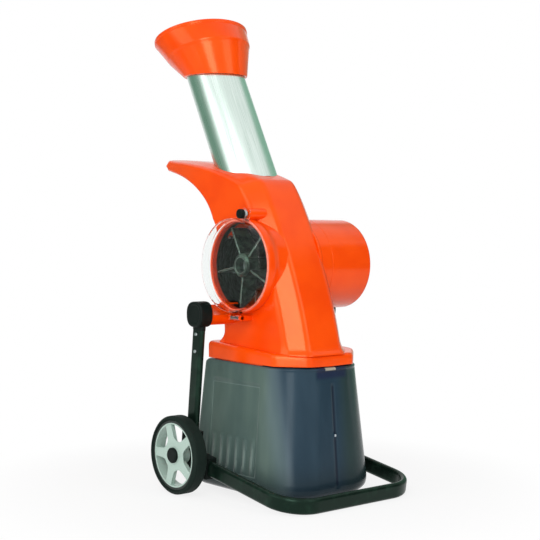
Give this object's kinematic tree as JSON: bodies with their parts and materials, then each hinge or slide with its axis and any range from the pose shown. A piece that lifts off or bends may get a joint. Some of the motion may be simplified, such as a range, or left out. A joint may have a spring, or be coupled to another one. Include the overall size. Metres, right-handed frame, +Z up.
{
  "type": "garden shredder",
  "caption": "Electric garden shredder: moulded head with hopper, feed chute and clear window over a chopping wheel, round motor, slide-out collection box and wheeled tube stand.",
  "frame": {"origin": "middle of the footprint box, on the floor", "axes": "+Z up, front (crossbar of the stand) towards -Y, chute leans back towards +Y, motor towards +X, window towards -X"},
  "size_m": [0.497, 0.6742, 1.1251],
  "materials": {
    "black_metal": "gloss",
    "black_plastic": "satin",
    "steel": "bright",
    "tyre": "matte",
    "rim": "silver satin",
    "white_plastic": "matte",
    "orange": "semi-gloss",
    "aluminium": "brushed",
    "dark_sheet": "satin",
    "cast": "cast",
    "core": "laminated",
    "gasket": "matte",
    "clear": "clear",
    "green_button": "gloss",
    "red_button": "gloss",
    "smoke": "smoked, translucent"
  },
  "bodies": {
    "machine": {"base_bar": "black_metal", "left_axle_bracket": "black_plastic", "right_axle_bracket": "black_plastic", "left_upright": "black_metal", "right_upright": "black_metal", "left_knuckle": "black_plastic", "right_knuckle": "black_plastic", "left_axle": "steel", "right_axle": "steel", "axle_retainers": "steel", "upright_screws": "steel", "knuckle_bolts": "steel", "body_shell": "orange", "side_cover": "orange", "shell_screws": "steel", "plinth": "orange", "plinth_screws": "steel", "chute_tube": "aluminium", "hopper": "orange", "infeed_duct": "dark_sheet", "impeller_casing": "steel", "discharge_duct": "dark_sheet", "shear_plate": "steel", "motor_housing": "orange", "motor_end_cap": "orange", "motor_bracket": "cast", "motor_screws": "steel", "stator": "core", "front_bearing": "steel", "rear_bearing": "steel", "rear_carrier": "cast", "window_gasket": "gasket", "hinge_pin": "steel", "interlock_switch": "black_plastic", "switch_unit": "black_plastic", "mains_inlet": "black_plastic"},
    "rotor": {"shaft": "steel", "impeller": "cast", "cutting_blades": "steel", "blade_screws": "steel", "impeller_nut": "steel", "armature": "core", "cooling_fan": "black_plastic"},
    "left_wheel": {"left_tyre": "tyre", "left_rim": "rim", "left_bush": "white_plastic", "left_hub_cap": "black_plastic"},
    "right_wheel": {"right_tyre": "tyre", "right_rim": "rim", "right_bush": "white_plastic", "right_hub_cap": "black_plastic"},
    "cover": {"window_cover": "clear"},
    "knob": {"cover_knob": "black_plastic"},
    "start_button": {"start_button": "green_button"},
    "stop_button": {"stop_button": "red_button"},
    "box": {"collection_box": "smoke"}
  },
  "joints": [
    {"name": "left_wheel_spin", "type": "hinge", "parent": "machine", "child": "left_wheel", "pos_m": [-0.227, 0.02544, 0.09], "axis": [1, 0, 0], "continuous": true},
    {"name": "right_wheel_spin", "type": "hinge", "parent": "machine", "child": "right_wheel", "pos_m": [0.227, 0.02544, 0.09], "axis": [1, 0, 0], "continuous": true},
    {"name": "rotor_spin", "type": "hinge", "parent": "machine", "child": "rotor", "pos_m": [0, -0.06656, 0.525], "axis": [1, 0, 0], "continuous": true},
    {"name": "cover_swing", "type": "hinge", "parent": "machine", "child": "cover", "pos_m": [-0.1308, -0.06656, 0.405], "axis": [0, -1, 0], "range_deg": [0, 25]},
    {"name": "knob_turn", "type": "hinge", "parent": "cover", "child": "knob", "pos_m": [-0.135, -0.09788, 0.64188], "axis": [1, 0, 0], "continuous": true},
    {"name": "start_button_press", "type": "slide", "parent": "machine", "child": "start_button", "axis": [-1, 0, 0], "range_m": [0, 0.003], "stiffness_N_per_m": 500},
    {"name": "stop_button_press", "type": "slide", "parent": "machine", "child": "stop_button", "axis": [-1, 0, 0], "range_m": [0, 0.003], "stiffness_N_per_m": 500},
    {"name": "box_slide", "type": "slide", "parent": "machine", "child": "box", "axis": [0, 1, 0], "range_m": [0, 0.33]}
  ]
}
